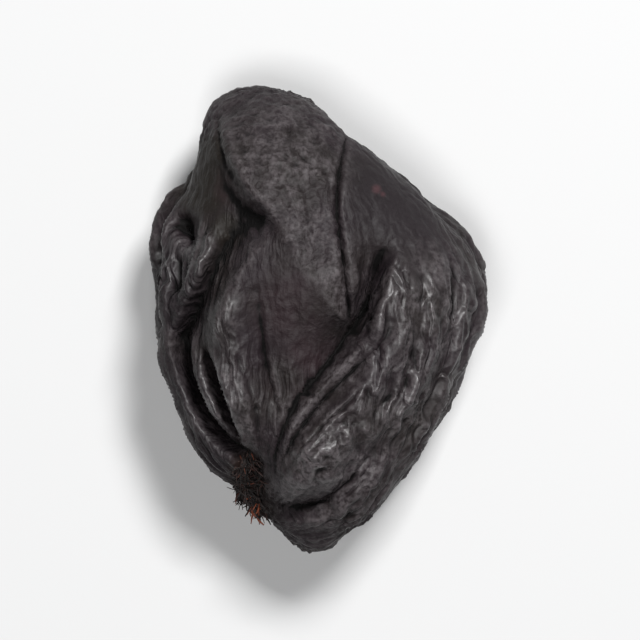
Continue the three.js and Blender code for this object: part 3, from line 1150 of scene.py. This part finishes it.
    def crumple(self, skin: bpy.types.Object, mesh: SkinMesh, material: bpy.types.Material) -> None:
        """Crumples the skin finely.

        Args:
            skin: The skin, which is changed.
            mesh: Its surface, which follows it.
            material: Its finish.
        """
        clear = ramp(*self.rest_clear, mesh.points[:, 2])
        for number, name in enumerate(("crumple", "crinkle"), start=len(self.layers)):
            self.paint(skin.data, name, self.growth(mesh, number) * clear)
        drift = [self.drift * clouds(mesh.points, self.drift_size, self.seed + axis) for axis in range(3)]
        for name, places in (("combed", self.combed(mesh)), ("loose", mesh.points)):
            self.paint(skin.data, name, places + np.stack(drift, axis=1))
        inputs = {
            "Crumple Size": self.crumple_size,
            "Crumple Height": self.crumple_height * MM,
            "Crinkle Size": self.crinkle_size,
            "Crinkle Height": self.crinkle_height * MM,
            "Seed": float(self.seed),
            "Material": material,
        }
        grow_nodes(skin, self.crumple_tree(), inputs)
        flat = np.empty(mesh.points.size)
        skin.data.vertices.foreach_get("co", flat)
        mesh.points = flat.reshape(-1, 3) / MM

    def build(self, material: bpy.types.Material) -> bpy.types.Object:
        """Makes the skin's object with the attributes that its finish reads.

        Args:
            material: The skin's finish.

        Returns:
            The skin.
        """
        mesh = self.wrinkled()
        skin = make_object("dried_plum_skin", mesh.points, mesh.faces)
        self.crumple(skin, mesh, material)
        normals = mesh.normals()
        slack = np.full(len(mesh.points), 1 / self.hollow_reach**2)
        broad = [mesh.stretched(along, slack, self.hollow_rounds) for along in mesh.points.T]
        # How far each point lies below its near neighbours and below a broad film; the finish paints shade
        # in both.
        near = mesh.smoothed(mesh.points, self.cavity_rounds)
        self.paint(skin.data, "crease", ((near - mesh.points) * normals).sum(axis=1) / self.cavity_depth)
        sunk = ((np.stack(broad, axis=1) - mesh.points) * normals).sum(axis=1)
        self.paint(skin.data, "hollow", sunk / self.hollow_depth)
        self.paint(skin.data, "flank", ramp(*self.flank_tilt, normals[:, 2]))
        facing = ramp(*self.stain_tilt, normals[:, 2])
        for stain in self.stains:
            self.paint(skin.data, stain.name, stain.share(mesh.points[:, :2]) * facing)
        return skin

    @staticmethod
    def paint(data: bpy.types.Mesh, name: str, values: Array) -> None:
        """Stores a number, or three, for each point of a mesh."""
        kind, key = ("FLOAT", "value") if values.ndim == 1 else ("FLOAT_VECTOR", "vector")
        data.attributes.new(name, kind, "POINT").data.foreach_set(key, values.astype(np.float32).ravel())


@dataclass(frozen=True)
class SkinFinish:
    """Near-black purple-brown skin, satin, with a thin grey waxy dust. Its paler grey is also painted as
    highlights on crests, pleat ridges and the lobe, and darker tones are painted as shade in creases,
    hollows and on two dim patches. Sizes are in millimetres.
    """

    name: str = "plum_skin"
    brown: Colour = (0.0165, 0.0128, 0.0124, 1)
    purple: Colour = (0.018, 0.0124, 0.0149, 1)
    # Pale grey of the waxy dust, also used for painted highlights.
    bloom_and_highlight: Colour = (0.073, 0.0625, 0.0655, 1)
    ruddy: Colour = (0.0242, 0.0138, 0.016, 1)
    olive: Colour = (0.0122, 0.0096, 0.0073, 1)
    # Darker tone painted as shade on dim patches.
    painted_shade: Colour = (0.0128, 0.0092, 0.011, 1)
    speck: Colour = (0.062, 0.028, 0.032, 1)
    scar: Colour = (0.012, 0.006, 0.0045, 1)
    # Near-black painted shade for creases and hollows.
    painted_crease_shade: Colour = (0.0015, 0.001, 0.001, 1)
    broad_size: float = 5.0
    middle_size: float = 1.4
    grain_size: float = 0.35
    octaves: float = 3.0
    octave_share: float = 0.6
    pore_size: float = 0.3
    pore_octave_share: float = 0.65
    blend: Span = (0.35, 0.65)
    valley_depth: Span = (0.0, 1.2)
    ridge_height: Span = (0.0, -1.0)
    hollow_depth: Span = (0.1, 1.0)
    # Share of the near-black painted shade that narrow creases take.
    valley_shade_share: float = 0.85
    olive_share: float = 0.9
    ruddy_share: float = 0.8
    ruddy_blotches: Span = (0.3, 0.6)
    painted_shade_share: float = 0.9
    dust_everywhere: float = 0.12
    dust_in_bloom_and_highlight: float = 0.7
    # Crests are lighter: partly dust, partly painted highlight.
    dust_and_highlight_on_ridges: float = 0.45
    # Painted highlight: extra pale dust on its spots.
    painted_highlight_share: float = 0.2
    dust_in_olive: float = -0.4
    dust_lost_in_painted_shade: float = 0.6
    dust_blotches: Span = (0.36, 0.64)
    dust_grains: Span = (0.28, 0.62)
    scar_blotches: Span = (0.25, 0.5)
    speck_even: float = 0.5
    roughness: float = 0.5
    roughness_spread: float = 0.2
    specular: float = 0.2
    gloss_everywhere: float = 0.08
    gloss_in_sheen: float = 0.65
    gloss_on_flanks: float = 0.45
    gloss_off_ridges: float = 0.75
    gloss_on_ridges: float = 0.5
    gloss_blotches: Span = (0.15, 0.6)
    gloss_roughness: float = 0.37
    lines: tuple[Crease, ...] = (
        Crease(weight=1.0, size=0.45, steep=5.0, seed=2),
        Crease(weight=-0.8, size=0.8, steep=9.0, seed=5),
    )
    crinkles: tuple[Crease, ...] = (Crease(weight=0.5, size=1.1), Crease(weight=0.35, size=0.5))
    pores: float = 0.6
    bump_strength: float = 0.9
    bump_depth: float = 0.11

    def material(self) -> bpy.types.Material:
        """Builds the material.

        Returns:
            The material.
        """
        made, root, place = start_material(self.name)
        inputs = made.node_tree.nodes["Principled BSDF"].inputs
        ridge = root.attribute("crease").between(*self.ridge_height)
        valley = root.attribute("crease").between(*self.valley_depth)
        hollow = root.attribute("hollow").between(*self.hollow_depth)
        # Painted shade: narrow creases and broad hollows turn near-black and lose their coat.
        sunk = (valley * self.valley_shade_share + hollow).clamped()
        middle = place.noise(self.middle_size, self.octaves, self.octave_share)
        colour = self.surface_colour(root, place, middle, ridge)
        root.feed(inputs["Base Color"], sunk.mix(colour, self.painted_crease_shade))
        root.feed(inputs["Roughness"], self.roughness + self.roughness_spread * (middle + sunk))
        inputs["Specular IOR Level"].default_value = self.specular
        gloss = self.gloss_everywhere + self.gloss_in_sheen * root.attribute("sheen")
        gloss = gloss + self.gloss_on_flanks * root.attribute("flank")
        gloss = gloss * (self.gloss_off_ridges + self.gloss_on_ridges * ridge)
        gloss = gloss * middle.between(*self.gloss_blotches) * (1 - sunk)
        root.feed(inputs["Coat Weight"], gloss.clamped())
        inputs["Coat Roughness"].default_value = self.gloss_roughness
        fine = creased(root.attribute("combed", "Vector"), self.lines) * root.attribute("crumple")
        fine = fine + creased(root.attribute("loose", "Vector"), self.crinkles) * root.attribute("crinkle")
        fine = fine + self.pores * place.noise(self.pore_size, self.octaves, self.pore_octave_share)
        root.feed(inputs["Normal"], fine.bump(self.bump_strength, self.bump_depth))
        return made

    def surface_colour(self, root: Wire, place: Wire, middle: Wire, ridge: Wire) -> Wire:
        """The skin's colour where it isn't sunk: its tints, painted shade on dim patches, the grey dust on
        them, partly painted highlight, the scar and the speck.

        Args:
            root: A wire of the material.
            place: Places on the skin.
            middle: Blotches of middle size.
            ridge: 1 on ridges and 0 elsewhere.

        Returns:
            The colour.
        """
        broad = place.noise(self.broad_size)
        grains = place.noise(self.grain_size, self.octaves, self.octave_share)
        olive, painted_shade = root.attribute("olive"), root.attribute("painted_shade")
        ruddy = root.attribute("ruddy") * broad.between(*self.ruddy_blotches)
        colour = broad.between(*self.blend).mix(self.brown, self.purple)
        colour = (olive * self.olive_share).mix(colour, self.olive)
        colour = (ruddy * self.ruddy_share).mix(colour, self.ruddy)
        # Painted shade: darker patches, which also carry less dust.
        colour = (painted_shade * self.painted_shade_share).mix(colour, self.painted_shade)
        # Grey dust in patches, partly real and partly painted highlight on crests, pleat ridges and the
        # lobe.
        dust_and_highlight = self.dust_everywhere + self.dust_in_bloom_and_highlight * root.attribute("bloom_and_highlight")
        dust_and_highlight = dust_and_highlight * middle.between(*self.dust_blotches) + self.dust_and_highlight_on_ridges * ridge
        dust_and_highlight = dust_and_highlight + self.painted_highlight_share * root.attribute("painted_highlight") + self.dust_in_olive * olive
        dust_and_highlight = dust_and_highlight * grains.between(*self.dust_grains) * (1 - self.dust_lost_in_painted_shade * painted_shade)
        colour = dust_and_highlight.clamped().mix(colour, self.bloom_and_highlight)
        colour = (root.attribute("scar") * middle.between(*self.scar_blotches)).mix(colour, self.scar)
        speck = root.attribute("speck") * (self.speck_even + (1 - self.speck_even) * grains)
        return speck.mix(colour, self.speck)


@dataclass(frozen=True)
class FibreFinish:
    """Dry torn fibres, dark brown to orange. Sizes are in millimetres."""

    name: str = "stem_fibre"
    dark: Colour = (0.0045, 0.0022, 0.0017, 1)
    russet: Colour = (0.024, 0.0085, 0.006, 1)
    orange: Colour = (0.19, 0.046, 0.018, 1)
    mottle_size: float = 0.3
    mottle_share: float = 0.5
    russet_tints: Span = (0.4, 0.85)
    orange_tints: Span = (0.88, 0.95)
    roughness: float = 0.6
    roughness_spread: float = 0.25
    bump_strength: float = 0.5
    bump_depth: float = 0.03

    def material(self) -> bpy.types.Material:
        """Builds the material.

        Returns:
            The material.
        """
        made, root, place = start_material(self.name)
        inputs = made.node_tree.nodes["Principled BSDF"].inputs
        tint = root.attribute("tint")
        mottle = place.noise(self.mottle_size)
        mottled = tint + self.mottle_share * (mottle - root.NOISE_MIDDLE)
        colour = mottled.between(*self.russet_tints).mix(self.dark, self.russet)
        root.feed(inputs["Base Color"], tint.between(*self.orange_tints).mix(colour, self.orange))
        root.feed(inputs["Roughness"], self.roughness + self.roughness_spread * mottle)
        root.feed(inputs["Normal"], mottle.bump(self.bump_strength, self.bump_depth))
        return made


@dataclass
class StemScar:
    """The scar where the stem broke away: torn fibres in a hollow of the stem end. In millimetres."""

    centre: Span = (-5.6, -12.9)
    radii: Span = (1.0, 2.4)
    lowest: float = 5.0
    per_square: float = 22.0
    length: float = 1.0
    rooted: float = 0.3
    thickness: float = 0.11
    taper: float = 0.7
    bend: float = 0.35
    bend_place: float = 0.5
    spread: float = 0.75
    aim: Place = (0.05, -0.85, 0.2)
    flatness: float = 0.95
    rise: float = 0.08
    smallest: Place = (0.5, 0.4, 0.4)
    largest: Place = (1.7, 0.9, 1.4)
    tip: Span = (-13.4, -15.0)
    tip_longer: float = 0.4
    tip_tint: float = 0.42
    tints: Span = (0.0, 0.92)
    steps: int = 6
    sides: int = 5
    seed: int = 11

    def fibre(self, root: Wire, size: dict[str, Wire]) -> Wire:
        """One bent, tapered fibre that stands upright.

        Args:
            root: A wire of the tree.
            size: The tree's inputs.

        Returns:
            Its mesh.
        """
        long = size["Length"]
        corners = {
            "Start": (0.0, -self.rooted),
            "Middle": (size["Bend"], self.bend_place),
            "End": (0.0, 1.0),
        }
        points = {
            name: root.node("ShaderNodeCombineXYZ", None, {0: across, 2: long * up})
            for name, (across, up) in corners.items()
        }
        line = root.node("GeometryNodeCurveQuadraticBezier", None, {"Resolution": self.steps, **points})
        ring = {"Resolution": self.sides, "Radius": size["Thickness"]}
        section = root.node("GeometryNodeCurvePrimitiveCircle", None, ring)
        thinner = 1 - self.taper * root.node("GeometryNodeSplineParameter", output="Factor")
        inputs = {"Curve": line, "Profile Curve": section, "Scale": thinner, "Fill Caps": True}
        return root.node("GeometryNodeCurveToMesh", None, inputs)

    def fibre_tree(self) -> bpy.types.NodeTree:
        """Geometry nodes that lay fibres along a bed of skin, longer and redder towards its tip.

        Returns:
            The tree, with its sizes as inputs.
        """
        sizes = dict.fromkeys(("Density", "Length", "Thickness", "Bend", "Spread"), "Float")
        root, size = start_tree("stem_fibres", {**sizes, "Aim": "Vector", "Seed": "Int"})

        def random(low: Any, high: Any, shift: int, output: int = 1) -> Wire:
            """A random number for each fibre, or a random vector.

            Args:
                low: The lowest value.
                high: The highest value.
                shift: What is added to the seed.
                output: Number of the output: 1 for a number and 0 for a vector.

            Returns:
                The random value.
            """
            inputs = {2 * output: low, 2 * output + 1: high, "Seed": size["Seed"] + shift}
            kind = "FLOAT" if output else "FLOAT_VECTOR"
            return root.node("FunctionNodeRandomValue", {"data_type": kind}, inputs, output)

        bed = {"Mesh": size["Geometry"], "Density": size["Density"], "Seed": size["Seed"]}
        roots = root.node("GeometryNodeDistributePointsOnFaces", None, bed)
        normal = Wire(root.tree, roots.socket.node.outputs["Normal"])
        stray = random((-1, -1, -1), (1, 1, 1), 1, output=0).scaled(size["Spread"])
        heading = size["Aim"].moved(stray)
        heading = heading.moved(normal.scaled(self.rise - self.flatness * heading.dot(normal)))
        turned = root.node("FunctionNodeAlignRotationToVector", {"axis": "Z"}, {"Vector": heading})
        angle = {"Axis": (0, 0, 1), "Angle": random(0.0, 2 * math.pi, 4)}
        roll = root.node("FunctionNodeAxisAngleToRotation", None, angle)
        rolled = {"Rotation": turned, "Rotate By": roll}
        turned = root.node("FunctionNodeRotateRotation", {"rotation_space": "LOCAL"}, rolled)
        along = root.node("ShaderNodeSeparateXYZ", None, {0: root.node("GeometryNodeInputPosition")}, "Y")
        tip = along.between(self.tip[0] * MM, self.tip[1] * MM)
        scales = random(self.smallest, self.largest, 2, output=0).scaled(1 + self.tip_longer * tip)
        placed = {"Points": roots, "Instance": self.fibre(root, size), "Rotation": turned, "Scale": scales}
        tuft = root.node("GeometryNodeInstanceOnPoints", None, placed)
        tint = {"Geometry": tuft, "Name": "tint", "Value": random(*self.tints, 3) + self.tip_tint * tip}
        settings = {"data_type": "FLOAT", "domain": "INSTANCE"}
        tinted = root.node("GeometryNodeStoreNamedAttribute", settings, tint)
        return end_tree(root, tinted, size["Material"])

    def build(self, skin: bpy.types.Object, material: bpy.types.Material) -> bpy.types.Object:
        """Makes the fibres on the skin.

        Args:
            skin: The skin that they grow from.
            material: Their finish.

        Returns:
            The fibres.
        """
        points = np.empty(len(skin.data.vertices) * 3)
        skin.data.vertices.foreach_get("co", points)
        faces = np.empty(len(skin.data.polygons) * 3, dtype=np.int64)
        skin.data.polygons.foreach_get("vertices", faces)
        points, faces = points.reshape(-1, 3) / MM, faces.reshape(-1, 3)
        middle = points[faces].mean(axis=1)
        off = np.linalg.norm((middle[:, :2] - self.centre) / np.array(self.radii), axis=1)
        bed = faces[(off < 1) & (middle[:, 2] > self.lowest)]
        used, bed = np.unique(bed, return_inverse=True)
        fibres = make_object("stem_scar_fibres", points[used], bed.reshape(-1, 3))
        inputs = {
            "Density": self.per_square / MM**2,
            "Length": self.length * MM,
            "Thickness": self.thickness * MM,
            "Bend": self.bend * MM,
            "Spread": self.spread,
            "Aim": self.aim,
            "Seed": self.seed,
            "Material": material,
        }
        grow_nodes(fibres, self.fibre_tree(), inputs)
        return fibres


@dataclass(frozen=True)
class Softbox:
    """A square area light that faces the plum, in metres and watts."""

    name: str
    place: Place
    size: float
    power: float

    def build(self) -> None:
        """Hangs the light."""
        light = bpy.data.lights.new(self.name, "AREA")
        light.size = self.size
        light.energy = self.power
        lamp = bpy.data.objects.new(self.name, light)
        lamp.location = self.place
        lamp.rotation_mode = "QUATERNION"
        lamp.rotation_quaternion = (-Vector(self.place)).to_track_quat("-Z", "Y")
        bpy.context.scene.collection.objects.link(lamp)


@dataclass
class Studio:
    """Floor, soft lights and a camera that looks straight down. Sizes are in metres."""

    field_width: float = 0.0505
    camera_height: float = 0.42
    floor_size: float = 3.0
    floor_colour: Colour = (0.68, 0.68, 0.68, 1)
    floor_roughness: float = 0.9
    sky: Colour = (0.9, 0.95, 1.0, 1)
    sky_strength: float = 0.05
    softboxes: tuple[Softbox, ...] = (
        Softbox("key_softbox", place=(0.14, 0.28, 0.5), size=0.14, power=3.55),
        Softbox("top_softbox", place=(-0.05, -0.13, 0.6), size=0.18, power=1.85),
    )

    def floor(self) -> None:
        """Lays the plain pale floor."""
        half = self.floor_size / 2
        corners = [(-half, -half, 0), (half, -half, 0), (half, half, 0), (-half, half, 0)]
        data = bpy.data.meshes.new("floor")
        data.from_pydata(corners, [], [(0, 1, 2, 3)])
        material = bpy.data.materials.new("pale_floor")
        material.use_nodes = True
        shader = material.node_tree.nodes["Principled BSDF"]
        shader.inputs["Base Color"].default_value = self.floor_colour
        shader.inputs["Roughness"].default_value = self.floor_roughness
        data.materials.append(material)
        floor = bpy.data.objects.new("floor", data)
        bpy.context.scene.collection.objects.link(floor)

    def build(self) -> None:
        """Sets up the floor, the lights, the sky and the camera."""
        scene = bpy.context.scene
        self.floor()
        for softbox in self.softboxes:
            softbox.build()
        world = bpy.data.worlds.new("studio_sky")
        world.use_nodes = True
        background = world.node_tree.nodes["Background"]
        background.inputs["Color"].default_value = self.sky
        background.inputs["Strength"].default_value = self.sky_strength
        scene.world = world
        low, high = CAD_BOX
        lens = bpy.data.cameras.new("camera")
        lens.lens = lens.sensor_width * self.camera_height / self.field_width
        camera = bpy.data.objects.new("camera", lens)
        middle = (low + high) / 2
        camera.location = (middle.x, middle.y, middle.z + self.camera_height)
        scene.collection.objects.link(camera)
        scene.camera = camera
        scene.view_settings.view_transform = "Standard"


def main() -> None:
    """Builds the pieces in order and says what each one is."""
    logging.basicConfig(level=logging.INFO, format="%(name)s: %(message)s")
    Studio().build()
    skin = PlumSkin().build(SkinFinish().material())
    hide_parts(NODE)
    fibres = StemScar().build(skin, FibreFinish().material())
    for piece in (skin, fibres):
        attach(piece, BODY)
        LOG.info("%s: %d faces", piece.name, len(piece.data.polygons))


if __name__ == "__main__":
    main()
